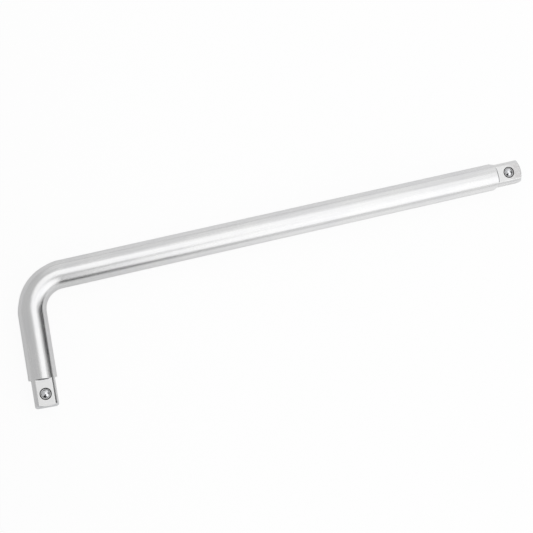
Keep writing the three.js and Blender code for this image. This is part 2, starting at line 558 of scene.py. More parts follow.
@dataclass(frozen=True)
class LappedBallSteel(MetalFinish):
    """Lapped bearing steel.

    Lapping leaves a true mirror with only a breath of haze, so the ball shows the lamps as small sharp shapes
    between dark ones.
    """

    material_name: ClassVar[str] = "lapped_bearing_steel"
    colour: str = "#E7E8EA"
    hazed_colour: str = "#DADBDE"
    roughness: float = 0.015
    hazed_roughness: float = 0.055
    haze_size: float = 1.1 * MM

    def pattern(self, tree: Tree) -> dict[str, object]:
        """Draw the haze.

        Args:
            tree: The material's tree.

        Returns:
            What the shader's inputs take.
        """
        haze = noise(tree, object_place(tree), size=self.haze_size, detail=3.0, roughness=0.55)
        return {
            "Base Color": tinted(tree, haze, self.colour, self.hazed_colour),
            "Roughness": ranged(tree, haze, (0.35, 0.75), (self.roughness, self.hazed_roughness)),
        }


@dataclass(frozen=True)
class DrawnSpringWire(MetalFinish):
    """Drawn spring wire, oiled.

    The die leaves fine lines along the wire, and heat and oil leave it grey and brownish in patches.
    """

    material_name: ClassVar[str] = "drawn_spring_wire"
    colour: str = "#7F8286"
    oiled_colour: str = "#5E5850"
    roughness: float = 0.34
    patch_size: float = 1.4 * MM
    line_length: float = 0.9 * MM
    line_width: float = 0.07 * MM
    line_height: float = 0.01 * MM

    def pattern(self, tree: Tree) -> dict[str, object]:
        """Draw the die's lines and the patches of oil.

        Args:
            tree: The material's tree.

        Returns:
            What the shader's inputs take.
        """
        place = object_place(tree)
        patches = noise(tree, place, size=self.patch_size, detail=3.0)
        lines = stretched(tree, place, (self.line_length, self.line_length, self.line_width))
        die = noise(tree, lines, size=1.0, detail=2.0)
        return {
            "Base Color": tinted(tree, patches, self.colour, self.oiled_colour),
            "Roughness": self.roughness,
            "Normal": bumped(tree, die, self.line_height, strength=0.4),
        }


@dataclass(frozen=True)
class DriveCuts:
    """Sizes of the cuts that make one square drive, and how many rows of cells the corner's painted shade reaches
    past the fillet.
    """

    end: End
    length: float
    face_shoulder_run: float
    side_shoulder_run: float
    ball_setback: float
    # Rows of cells that the corner's painted shade reaches past the fillet.
    shade_rows: int


@dataclass(frozen=True)
class StakedHole:
    """Sizes of the ball's hole, with the ring that a punch leaves round it."""

    bore_radius: float = 2.848 * MM
    bore_depth: float = 8.589 * MM
    point_depth: float = 10.3 * MM
    lip_radius: float = 2.429 * MM
    lip_edge_depth: float = 0.1 * MM
    lip_seat_depth: float = 0.26 * MM
    lip_root_depth: float = 0.78 * MM
    crest_radius: float = 2.68 * MM
    crest_depth: float = 0.05 * MM
    stake_radius: float = 3.19 * MM
    stake_depth: float = 0.4 * MM
    rim_rounding: float = 0.05 * MM
    trough: tuple[tuple[float, float], ...] = ((0.4, 0.62), (0.12, 0.93), (0.0, 1.0), (-0.12, 0.93), (-0.4, 0.62))
    funnel_shares: tuple[float, ...] = (0.3, 0.6, 0.85)

    def profile(self) -> list[tuple[float, float]]:
        """Give the hole's profile, from the flat down to the drill point.

        Returns:
            Radius and depth below the flat, point by point.
        """
        stake, crest, bore, rounding = self.stake_radius, self.crest_radius, self.bore_radius, self.rim_rounding
        middle, half = (stake + crest) / 2, (stake - crest) / 2
        return [
            (stake + 2 * rounding, 0.0),
            (stake + rounding, 0.02 * rounding),
            (stake, 0.4 * rounding),
            (stake - 0.6 * rounding, 1.5 * rounding),
            *((middle + across * half, down * self.stake_depth) for across, down in self.trough),
            (crest + rounding, self.crest_depth + rounding),
            (crest, self.crest_depth),
            (crest - rounding, self.crest_depth),
            (self.lip_radius + 0.4 * rounding, self.lip_edge_depth - 0.5 * rounding),
            (self.lip_radius, self.lip_edge_depth + 0.4 * rounding),
            (self.lip_radius, self.lip_seat_depth),
            (bore - rounding, self.lip_root_depth - rounding),
            (bore, self.lip_root_depth + rounding),
            (bore, 0.5 * self.bore_depth),
            (bore, self.bore_depth),
            (0.5 * bore, 0.5 * (self.bore_depth + self.point_depth)),
        ]

    def in_painted_shade(self, place: int) -> bool:
        """Say whether the profile's stretch after a point is in the groove or inside the hole, where it takes the
        painted shade.
        """
        groove, lip = range(1, 10), 14
        return place in groove or place >= lip


@dataclass
class HandleBar:
    """The one-piece bar: two legs, a bend, and a square drive milled on each end."""

    diameter: float = 15.5 * MM
    long_leg: float = 291.5 * MM
    short_leg: float = 69 * MM
    bend_radius: float = 19 * MM
    bend_flattening: float = 0.45 * MM
    bend_lead_share: float = 0.2
    leg_angle: float = 94.0
    drive_size: float = 12.65 * MM
    end_face_radius: float = 5.134 * MM
    chamfer_angle: float = 62.5
    shoulder_fillet: float = 0.6 * MM
    shoulder_lead: float = 4 * MM
    crest_rounding: float = 0.208 * MM
    edge_rounding: float = 0.16 * MM
    edge_blend_share: float = 0.70839
    land_rounding: float = 0.6 * MM
    hole: StakedHole = field(default_factory=StakedHole)
    cuts: tuple[DriveCuts, DriveCuts] = (
        DriveCuts(End.SHORT, 15.5 * MM, 0.1 * MM, 0.1 * MM, 7.4 * MM, -1),
        DriveCuts(End.LONG, 15.4 * MM, 0.1 * MM, 2.0 * MM, 8.1 * MM, 1),
    )
    # How the points lie: columns run along the bar, and each row is a ring round it.
    patch_half: float = 3.6 * MM
    patch_cells: int = 24
    edge_margin: float = 0.24 * MM
    margin_shares: tuple[float, ...] = (0.5, 1.0)
    corner_steps: tuple[float, ...] = (-0.9, -0.5, -0.15, 0.15, 0.5, 1.0)
    land_columns: int = 5
    before_patch: tuple[float, ...] = (0.12, 0.4, 0.7)
    after_patch: tuple[float, ...] = (0.4, 0.8, 0.95)
    arc_steps: tuple[int, ...] = (0, 4, 4, 6, 5)
    run_shares: tuple[tuple[float, ...], ...] = (
        (0.0, 0.35, 0.7, 0.95),
        (0.12, 0.5, 0.88),
        (),
        (0.3, 0.7),
        (0.06, 0.3, 0.65),
    )
    bend_rows: int = 72
    short_rows: int = 12
    long_rows: int = 44
    longest_tangent: float = 0.45
    weld_distance: float = 0.002 * MM

    @property
    def radius(self) -> float:
        """Radius of the round bar."""
        return self.diameter / 2

    @property
    def half_drive(self) -> float:
        """Distance of each flat from the bar's axis."""
        return self.drive_size / 2

    @property
    def edge_angle(self) -> float:
        """Angle from the middle of a flat to its edge."""
        return math.acos(self.half_drive / self.radius)

    @property
    def rounding_angle(self) -> float:
        """Angle that an edge's rounding takes up round the bar."""
        return self.edge_rounding / self.radius

    @property
    def turn(self) -> float:
        """Angle through which the bar is bent, in radians."""
        return math.radians(180 - self.leg_angle)

    @property
    def bend_start(self) -> float:
        """Distance along the axis from the short end face to the bend."""
        return self.short_leg - self.bend_radius * math.tan(self.turn / 2)

    @property
    def blank_length(self) -> float:
        """Length of the straight blank."""
        straight = self.short_leg + self.long_leg - 2 * self.bend_radius * math.tan(self.turn / 2)
        return straight + self.bend_radius * self.turn

    @cached_property
    def quarter(self) -> np.ndarray:
        """Place the columns, the same in each quarter of the bar.

        Returns:
            Angles of one quarter's columns, measured from the middle of its flat.
        """
        half_width = self.half_drive * math.tan(self.edge_angle)
        across = np.linspace(-self.patch_half, self.patch_half, self.patch_cells + 1)
        free = half_width - self.patch_half - self.edge_margin
        margin = self.patch_half + free * np.array(self.margin_shares)
        flat = np.arctan(np.concatenate([-margin[::-1], across, margin]) / self.half_drive)
        corner = self.edge_angle + self.rounding_angle * np.array(self.corner_steps)
        land = np.linspace(corner[-1], math.pi / 2 - corner[-1], self.land_columns + 2)[1:-1]
        return np.concatenate([-corner[::-1], flat, corner, land])

    @cached_property
    def angle(self) -> np.ndarray:
        """Angle of each column from the middle of its nearest flat."""
        return np.tile(self.quarter, 4)

    @property
    def on_side(self) -> np.ndarray:
        """Mask of the columns whose nearest flat is one of the two side flats."""
        return np.repeat([False, True, False, True], len(self.quarter))

    @property
    def reach(self) -> np.ndarray:
        """Work out the drive's section, a square whose corners are the round bar, with its edges rounded.

        Returns:
            The distance of each column from the axis.
        """
        flat = self.half_drive / np.cos(self.angle)
        gap = self.edge_blend_share * self.edge_rounding
        blend = np.maximum(gap - np.abs(flat - self.radius), 0) / gap
        return np.minimum(flat, self.radius) - blend**2 * gap / 4

    def drive_corners(self, cuts: DriveCuts) -> list[np.ndarray]:
        """Place the corners of the drive's profile, before any is rounded.

        Args:
            cuts: The drive's sizes.

        Returns:
            Distance from the end face and from the axis, for each column: the middle of the end face, its
            edge, the chamfer's edge, the shoulder's foot, its crest, and a place on the round bar.
        """
        zero = np.zeros_like(self.angle)
        reach = self.reach
        slope = math.tan(math.radians(self.chamfer_angle))
        rise = np.maximum(self.radius * np.cos(self.angle) - self.half_drive, 0)
        run = np.where(self.on_side, cuts.side_shoulder_run, cuts.face_shoulder_run)
        bar_from = cuts.length + max(cuts.side_shoulder_run, cuts.face_shoulder_run) + self.shoulder_lead
        corners = (
            (zero, zero),
            (zero, zero + self.end_face_radius),
            ((reach - self.end_face_radius) / slope, reach),
            (zero + cuts.length, reach),
            (cuts.length + run * rise / (self.radius - self.half_drive), zero + self.radius),
            (zero + bar_from, zero + self.radius),
        )
        return [np.stack(corner, -1) for corner in corners]

    def drive_rows(self, cuts: DriveCuts) -> tuple[np.ndarray, dict[str, int]]:
        """Lay the rows of points of one drive, from the middle of its end face to the round bar.

        Args:
            cuts: The drive's sizes.

        Returns:
            Distance from the end face and from the axis for each row and column, and the number of the row
            at which each surface begins.
        """
        foot, crest = 3, 4
        corners = self.drive_corners(cuts)
        on_land = np.abs(self.angle) > self.edge_angle + 0.5 * self.rounding_angle
        chamfer_rounding = np.where(on_land, self.land_rounding, self.edge_rounding)[:, None]
        rounding = [0, self.edge_rounding, chamfer_rounding, self.shoulder_fillet, self.crest_rounding]
        patch = cuts.ball_setback + np.linspace(-self.patch_half, self.patch_half, self.patch_cells + 1)
        flat = [np.stack([np.full_like(self.angle, y), corners[foot][:, 1]], -1) for y in patch]
        rows: list[np.ndarray] = []
        marks: dict[str, int] = {}
        leave = corners[0]
        for place, shares in enumerate(self.run_shares, start=1):
            arc = [corners[place]]
            if place < len(self.run_shares):
                arc = self.rounded_corner(*corners[place - 1 : place + 2], rounding[place], self.arc_steps[place])
            if place == foot:
                marks["milled"] = len(rows) - 1
                rows += [leave + (flat[0] - leave) * s for s in self.before_patch]
                marks["patch"] = len(rows)
                rows += flat
                rows += [flat[-1] + (arc[0] - flat[-1]) * s for s in self.after_patch]
                marks["corner"] = len(rows) - cuts.shade_rows
            rows += [leave + (arc[0] - leave) * s for s in shares]
            rows += arc
            leave = arc[-1]
            if place in (foot, crest):
                marks["step" if place == foot else "ground"] = len(rows) - 1
        grid = np.array(rows)
        lands = np.abs(self.angle) > self.edge_angle + self.rounding_angle
        self.spread_on_lands(grid, marks["patch"] + self.patch_cells, lands)
        return grid, marks

    def rounded_corner(
        self, before: np.ndarray, corner: np.ndarray, after: np.ndarray, radius: float | np.ndarray, steps: int
    ) -> list[np.ndarray]:
        """Round one corner of every column's profile.

        Args:
            before: The profile's corner before this one, for each column.
            corner: The corner to round.
            after: The next corner.
            radius: The rounding's radius, one or one for each column, which short sides make smaller.
            steps: How many steps the rounding has.

        Returns:
            The points of the rounding, one array for each step.
        """
        back, ahead = before - corner, after - corner
        back_length = np.linalg.norm(back, axis=-1, keepdims=True)
        ahead_length = np.linalg.norm(ahead, axis=-1, keepdims=True)
        back_way = back / np.maximum(back_length, TINY)
        ahead_way = ahead / np.maximum(ahead_length, TINY)
        bend = math.pi - np.arccos(np.clip((back_way * ahead_way).sum(-1, keepdims=True), -1, 1))
        tangent = radius * np.tan(bend / 2)
        tangent = np.minimum(tangent, self.longest_tangent * np.minimum(back_length, ahead_length))
        start, finish = corner + back_way * tangent, corner + ahead_way * tangent
        shares = np.linspace(0, 1, steps + 1)
        return [start * (1 - s) ** 2 + corner * 2 * s * (1 - s) + finish * s**2 for s in shares]

    def spread_on_lands(self, grid: np.ndarray, first: int, lands: np.ndarray) -> None:
        """Space out the shoulder's rows where the square's corner is the bar itself and has no shoulder.

        Args:
            grid: The drive's rows, which are changed in place.
            first: The last row before the shoulder's rows.
            lands: A mask of the columns that lie on the square's corners.
        """
        half_flat = int((~lands).sum()) // 8  # four flats, each with two halves
        middle = grid[first:, int(np.argmax(~lands)) + half_flat]
        steps = np.linalg.norm(np.diff(middle, axis=0), axis=-1)
        shares = np.concatenate([[0], np.cumsum(steps)]) / steps.sum()
        start, finish = grid[first, lands, 0], grid[-1, lands, 0]
        grid[first:, lands, 0] = start + (finish - start) * shares[:, None]

    def blank_mesh(self) -> bpy.types.Mesh:
        """Make the straight blank with both drives cut.

        Returns:
            The blank's closed mesh, whose faces know how their surface was made.
        """
        grids, marks = zip(*(self.drive_rows(cut) for cut in self.cuts), strict=True)
        short, long = grids[0], grids[1].copy()
        long[:, :, 0] = self.blank_length - long[:, :, 0]
        bend_end = self.bend_start + self.bend_radius * self.turn
        plain = [
            *np.linspace(short[-1, 0, 0], self.bend_start, self.short_rows + 1)[1:],
            *np.linspace(self.bend_start, bend_end, self.bend_rows + 1)[1:],
            *np.linspace(bend_end, long[-1, 0, 0], self.long_rows + 1)[1:-1],
        ]
        level = np.full_like(self.angle, self.radius)
        middle = [np.stack([np.full_like(level, y), level], -1) for y in plain]
        rings = np.concatenate([short, np.stack(middle), long[::-1]])
        mesh = bmesh.new()
        surface = mesh.faces.layers.int.new("surface")
        turns = np.concatenate([self.quarter + k * math.pi / 2 for k in range(4)])
        ways = np.stack([np.sin(turns), np.cos(turns)], -1)
        rows = [
            [mesh.verts.new((r * x, y, r * z)) for (y, r), (x, z) in zip(ring, ways, strict=True)]
            for ring in rings
        ]
        kinds = self.face_kinds(marks, len(rings))
        windows = self.hole_windows(marks, len(rings))
        columns = len(ways)
        for i in range(len(rings) - 1):
            for j in range(columns):
                if any(top <= i < bottom and left <= j < right for top, bottom, left, right in windows):
                    continue
                k = (j + 1) % columns
                face = mesh.faces.new((rows[i][j], rows[i][k], rows[i + 1][k], rows[i + 1][j]))
                face[surface] = kinds[i, j]
        for window, cut in zip(windows, self.cuts, strict=True):
            self.stake(mesh, surface, rows, window, cut)
        bmesh.ops.remove_doubles(mesh, verts=mesh.verts, dist=self.weld_distance)
        return smooth_mesh(mesh, "handle_blank")

    def face_kinds(self, marks: Sequence[dict[str, int]], count: int) -> np.ndarray:
        """Say how each cell of the blank's grid was made.

        Args:
            marks: For each drive, the rows at which its surfaces begin.
            count: How many rows the whole blank has.

        Returns:
            The surface's number, for each row and column of cells.
        """
        on_flat = np.abs(self.angle) < self.edge_angle
        kinds = np.full((count, len(on_flat)), int(Surface.GROUND))
        for from_end, mark in zip((False, True), marks, strict=True):
            for row in range(mark["ground"]):
                place = count - 2 - row if from_end else row
                if row < mark["milled"]:
                    kinds[place] = int(Surface.TURNED)
                else:
                    # Cells in the shoulder's inside corner take the corner's painted shade.
                    in_corner = mark["corner"] <= row < mark["step"]
                    kinds[place, on_flat] = int(Surface.CORNER if in_corner else Surface.MILLED)
        return kinds

    def hole_windows(self, marks: Sequence[dict[str, int]], count: int) -> list[tuple[int, int, int, int]]:
        """Find the cells that the two ball holes replace.

        Args:
            marks: For each drive, the rows at which its surfaces begin.
            count: How many rows the whole blank has.

        Returns:
            First and last row and column of each window.
        """
        left = len(self.corner_steps) + len(self.margin_shares)
        short, long = (mark["patch"] for mark in marks)
        tops = (short, count - 1 - long - self.patch_cells)
        return [(top, top + self.patch_cells, left, left + self.patch_cells) for top in tops]

    def stake(
        self,
        mesh: bmesh.types.BMesh,
        surface: bmesh.types.BMLayerItem,
        rows: Sequence[Sequence[bmesh.types.BMVert]],
        window: tuple[int, int, int, int],
        cuts: DriveCuts,
    ) -> None:
        """Fill a window in the upper flat with rings that run from its square edge down into the hole.

        Args:
            mesh: The blank's mesh.
            surface: The layer that says how a face was made.
            rows: The blank's points, by row and column.
            window: First and last row and column of the window.
            cuts: Sizes of the drive that carries the hole.
        """
        top, bottom, left, right = window
        edge = [rows[top][j] for j in range(left, right)]
        edge += [rows[i][right] for i in range(top, bottom)]
        edge += [rows[bottom][j] for j in range(right, left, -1)]
        edge += [rows[i][left] for i in range(bottom, top, -1)]
        along = cuts.ball_setback if cuts.end is End.SHORT else self.blank_length - cuts.ball_setback
        ways = [(math.cos(a), math.sin(a)) for a in (math.atan2(v.co.y - along, v.co.x) for v in edge)]
        profile = self.hole.profile()
        outer = [Vector((profile[0][0] * x, along + profile[0][0] * y, self.half_drive)) for x, y in ways]
        loops = [edge]
        for share in self.hole.funnel_shares:
            loops.append([mesh.verts.new(v.co.lerp(rim, share)) for v, rim in zip(edge, outer, strict=True)])
        first = len(loops)
        for radius, depth in profile:
            level = self.half_drive - depth
            loops.append([mesh.verts.new((radius * x, along + radius * y, level)) for x, y in ways])
        for place, (outside, inside) in enumerate(zip(loops[:-1], loops[1:], strict=True), start=-first):
            # Faces in the groove and inside the hole take the dark painted shade.
            kind = int(Surface.PUNCHED if self.hole.in_painted_shade(place) else Surface.MILLED)
            for j in range(len(edge)):
                k = (j + 1) % len(edge)
                mesh.faces.new((outside[j], outside[k], inside[k], inside[j]))[surface] = kind
        # The drill point takes the painted shade too.
        point = mesh.verts.new((0, along, self.half_drive - self.hole.point_depth))
        for j, vertex in enumerate(loops[-1]):
            mesh.faces.new((vertex, loops[-1][(j + 1) % len(edge)], point))[surface] = int(Surface.PUNCHED)

    def bending_tree(self) -> Tree:
        """Make the tree that bends a straight blank round a former and dresses its surfaces.

        Returns:
            The tree. It keeps each point's place on the straight blank as the attribute blank, and draws the
            stretched outer side of the bend in towards the axis.
        """
        names = [f"{kind.name.title()} surface" for kind in Surface]
        sizes = ["Bend start", "Bend radius", "Turn", "Flattening", "Lead share"]
        inputs = [(n, "NodeSocketFloat") for n in sizes] + [(n, "NodeSocketMaterial") for n in names]
        tree, given = new_geometry_tree("bar_bending", inputs)
        sockets = given.outputs
        start, radius = sockets["Bend start"], sockets["Bend radius"]
        straight = add_node(tree, "GeometryNodeInputPosition").outputs[0]
        kept = add_node(
            tree,
            "GeometryNodeStoreNamedAttribute",
            {"Geometry": sockets["Geometry"], "Name": "blank", "Value": straight},
            data_type="FLOAT_VECTOR",
            domain="POINT",
        )
        place = add_node(tree, "ShaderNodeSeparateXYZ", {0: straight}).outputs
        past = computed(tree, "SUBTRACT", place["Y"], start)
        arc = computed(tree, "MULTIPLY", radius, sockets["Turn"])
        bent = add_node(tree, "ShaderNodeClamp", {"Value": past, "Min": 0.0, "Max": arc}).outputs[0]
        share = computed(tree, "DIVIDE", bent, arc)
        drawn = computed(tree, "MULTIPLY", computed(tree, "MINIMUM", place["X"], 0.0), sockets["Flattening"])
        for bend_share in (share, computed(tree, "SUBTRACT", 1.0, share)):
            lead = ranged(tree, bend_share, (0.0, sockets["Lead share"]), smooth=True)
            drawn = computed(tree, "MULTIPLY", drawn, lead)
        slid = {
            "X": computed(tree, "SUBTRACT", place["X"], drawn),
            "Y": computed(tree, "SUBTRACT", place["Y"], bent),
            "Z": place["Z"],
        }
        turning = {
            "Vector": add_node(tree, "ShaderNodeCombineXYZ", slid).outputs[0],
            "Center": add_node(tree, "ShaderNodeCombineXYZ", {"X": radius, "Y": start}).outputs[0],
            "Axis": (0.0, 0.0, 1.0),
            "Angle": computed(tree, "MULTIPLY", computed(tree, "DIVIDE", bent, radius), -1.0),
        }
        turned = add_node(tree, "ShaderNodeVectorRotate", turning, rotation_type="AXIS_ANGLE").outputs[0]
        moves = {"Geometry": kept.outputs["Geometry"], "Position": turned}
        moved = add_node(tree, "GeometryNodeSetPosition", moves)
        made = add_node(tree, "GeometryNodeInputNamedAttribute", {"Name": "surface"}, data_type="INT")
        bar = add_node(tree, "GeometryNodeRealizeInstances", {"Geometry": moved.outputs["Geometry"]})
        for kind, label in zip(Surface, names, strict=True):
            pair = {2: made.outputs["Attribute"], 3: int(kind)}
            chosen = add_node(tree, "FunctionNodeCompare", pair, data_type="INT", operation="EQUAL")
            dress = {
                "Geometry": bar.outputs["Geometry"],
                "Selection": chosen.outputs["Result"],
                "Material": sockets[label],
            }
            bar = add_node(tree, "GeometryNodeSetMaterial", dress)
        add_node(tree, "NodeGroupOutput", {"Geometry": bar.outputs["Geometry"]})
        return tree

    def build(self) -> Piece:
        """Cut the blank, bend it and dress its surfaces.

        Returns:
            The finished bar, which rides with the handle in place of the plain one.
        """
        # The punched and corner finishes carry painted shade in the groove, the hole and the shoulder's corner.
        kinds = (GroundBarChrome, MilledFlatChrome, TurnedEndChrome, GrooveShadeChrome, CornerShadeChrome)
        finishes = [kind().material() for kind in kinds]
        bar = new_piece("bar_forging", self.blank_mesh())
        values: dict[str, object] = {
            "Bend start": self.bend_start,
            "Bend radius": self.bend_radius,
            "Turn": self.turn,
            "Flattening": self.bend_flattening / self.radius,
            "Lead share": self.bend_lead_share,
        }
        values |= {f"{kind.name.title()} surface": finishes[kind] for kind in Surface}
        run_tree(bar, self.bending_tree(), values)
        weighted = bar.modifiers.new("even_flats", "WEIGHTED_NORMAL")
        weighted.mode = "FACE_AREA"
        made_plain(bar, finishes)
        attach(bar, "handle")
        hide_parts("handle_bar")
        return bar


@dataclass
class DetentPart:
    """What the loose pieces of the two detents share: their end and their names."""

    end: End
    kind: ClassVar[str]

    @property
    def node(self) -> str:
        """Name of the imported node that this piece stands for."""
        return f"{self.end.value}_end_{self.kind}"

    @property
    def name(self) -> str:
        """Name of this piece."""
        return f"{self.end.value}_detent_{self.kind}"


@dataclass
class DetentBall(DetentPart):
    """A ball that stands out of its drive's upper flat and holds the socket on."""

    kind: ClassVar[str] = "ball"
    diameter: float = 5.556 * MM
    cells: int = 22

    def build(self, finish: Material) -> Piece:
        """Make the ball from a cube whose faces are gridded and blown up evenly, so that no pole shows.

        Args:
            finish: The ball's material.

        Returns:
            The ball, which rides on its own body.
        """
        low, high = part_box(self.node)
        centre = (low + high) / 2
        mesh = bmesh.new()
        bmesh.ops.create_cube(mesh, size=2.0)
        bmesh.ops.subdivide_edges(mesh, edges=mesh.edges, cuts=self.cells - 1, use_grid_fill=True)
        for vertex in mesh.verts:
            evened = Vector([math.tan(c * math.pi / 4) for c in vertex.co])
            vertex.co = centre + evened.normalized() * (self.diameter / 2)
        ball = new_piece(self.name, smooth_mesh(mesh, self.name))
        ball.data.materials.append(finish)
        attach(ball, f"{self.end.value}_ball")
        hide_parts(self.node)
        return ball


@dataclass
class DetentSpring(DetentPart):
    """The coil spring that pushes a ball out, hidden in its hole."""

    kind: ClassVar[str] = "spring"
    coil_points: ClassVar[int] = 40
    wire_points: ClassVar[int] = 14
    wire_diameter: float = 0.5 * MM
    coil_radius: float = 2.298 * MM
    coils: float = 5.0
    travel: float = 1.1 * MM

    @classmethod
    def winding_tree(cls) -> Tree:
        """Make the tree that winds a spring.

        Returns:
            The tree, whose inputs are the spring's sizes and the place of its foot.
        """
        inputs = [(name, "NodeSocketFloat") for name in ("Coil radius", "Wire radius", "Coils", "Rise")]
        inputs += [("Foot", "NodeSocketVector"), ("Wire", "NodeSocketMaterial")]
        tree, given = new_geometry_tree("spring_winding", inputs)
        sockets = given.outputs
        sizes = {
            "Resolution": cls.coil_points,
            "Rotations": sockets["Coils"],
            "Start Radius": sockets["Coil radius"],
            "End Radius": sockets["Coil radius"],
            "Height": sockets["Rise"],
        }
        helix = add_node(tree, "GeometryNodeCurveSpiral", sizes).outputs["Curve"]
        circle = {"Resolution": cls.wire_points, "Radius": sockets["Wire radius"]}
        section = add_node(tree, "GeometryNodeCurvePrimitiveCircle", circle).outputs["Curve"]
        sweep = {"Curve": helix, "Profile Curve": section, "Fill Caps": True}
        wire = add_node(tree, "GeometryNodeCurveToMesh", sweep).outputs["Mesh"]
        placed = add_node(tree, "GeometryNodeTransform", {"Geometry": wire, "Translation": sockets["Foot"]})
        real = add_node(tree, "GeometryNodeRealizeInstances", {"Geometry": placed.outputs["Geometry"]})
        dress = {"Geometry": real.outputs["Geometry"], "Material": sockets["Wire"]}
        dressed = add_node(tree, "GeometryNodeSetMaterial", dress)
        add_node(tree, "NodeGroupOutput", {"Geometry": dressed.outputs["Geometry"]})
        return tree

    def build(self, tree: Tree, finish: Material) -> Piece:
        """Wind the spring between the drill point and the ball.

        Args:
            tree: The winding tree.
            finish: The wire's material.

        Returns:
            The spring, which rides with the handle.
        """
        low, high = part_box(self.node)
        foot = Vector(((low.x + high.x) / 2, (low.y + high.y) / 2, low.z + self.wire_diameter / 2))
        spring = new_piece(self.name, bpy.data.meshes.new(self.node))
        values = {
            "Coil radius": self.coil_radius,
            "Wire radius": self.wire_diameter / 2,
            "Coils": self.coils,
            "Rise": high.z - low.z - self.wire_diameter,
            "Foot": foot,
            "Wire": finish,
        }
        run_tree(spring, tree, values)
        made_plain(spring, [finish])
        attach(spring, "handle")
        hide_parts(self.node)
        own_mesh(spring)
        return spring


@dataclass(frozen=True)
class SoftBox:
    """A studio lamp with a plain rectangular diffuser, aimed at one point."""

    name: str
    place: Place
    aim: Place
    width: float
    height: float
    radiance: float

    def build(self) -> Piece:
        """Hang the lamp.

        Returns:
            The lamp's object. The camera doesn't see it, and the metal does.
        """
        lamp = bpy.data.lights.new(self.name, "AREA")
        lamp.shape = "RECTANGLE"
        lamp.size, lamp.size_y = self.width, self.height
        lamp.energy = self.radiance * math.pi * self.width * self.height
        lamp_object = new_piece(self.name, lamp)
        way = Vector(self.aim) - Vector(self.place)
        lamp_object.location = self.place
        lamp_object.rotation_euler = way.to_track_quat("-Z", "Y").to_euler()
        lamp_object.visible_camera = False
        return lamp_object


@dataclass(frozen=True)
class BlackCard:
    """A matt black card beside the table, which gives the metal its dark line."""

    name: str
    corners: tuple[Place, ...]

    def build(self, paper: Material) -> Piece:
        """Stand the card up.

        Args:
            paper: The card's material.

        Returns:
            The card, which only reflections see.
        """
        data = bpy.data.meshes.new(self.name)
        data.from_pydata([list(c) for c in self.corners], [], [tuple(range(len(self.corners)))])
        data.materials.append(paper)
        card = new_piece(self.name, data)
        card.visible_camera = False
        card.visible_diffuse = False
        card.visible_shadow = False
        return card


RIGHT_CARD_X = 1.1
RIGHT_CARD_OUTLINE = (
    (-0.6, 0.0),
    (0.32, 0.0),
    (0.32, 0.92),
    (0.13, 0.92),
    (-0.06, 0.52),
    (-0.26, 0.3),
    (-0.42, 0.12),
    (-0.6, 0.05),
)
FRONT_CARD_Y = -0.85
FRONT_CARD_OUTLINE = (
    (-1.0, 0.0),
    (-0.15, 0.0),
    (-0.02, 0.17),
    (0.26, 0.2),
    (0.27, 0.59),
    (0.03, 0.62),
    (-0.02, 1.9),
    (-0.6, 2.2),
    (-1.0, 1.3),
)
FRONT_FLAG_CORNERS = (
    (-0.6, FRONT_CARD_Y, 2.1),
    (-0.02, FRONT_CARD_Y, 1.9),
    (-0.02, -0.4, 1.25),
    (-0.03, -0.14, 1.21),
    (-0.28, -0.14, 1.21),
    (-0.34, -0.4, 1.25),
)


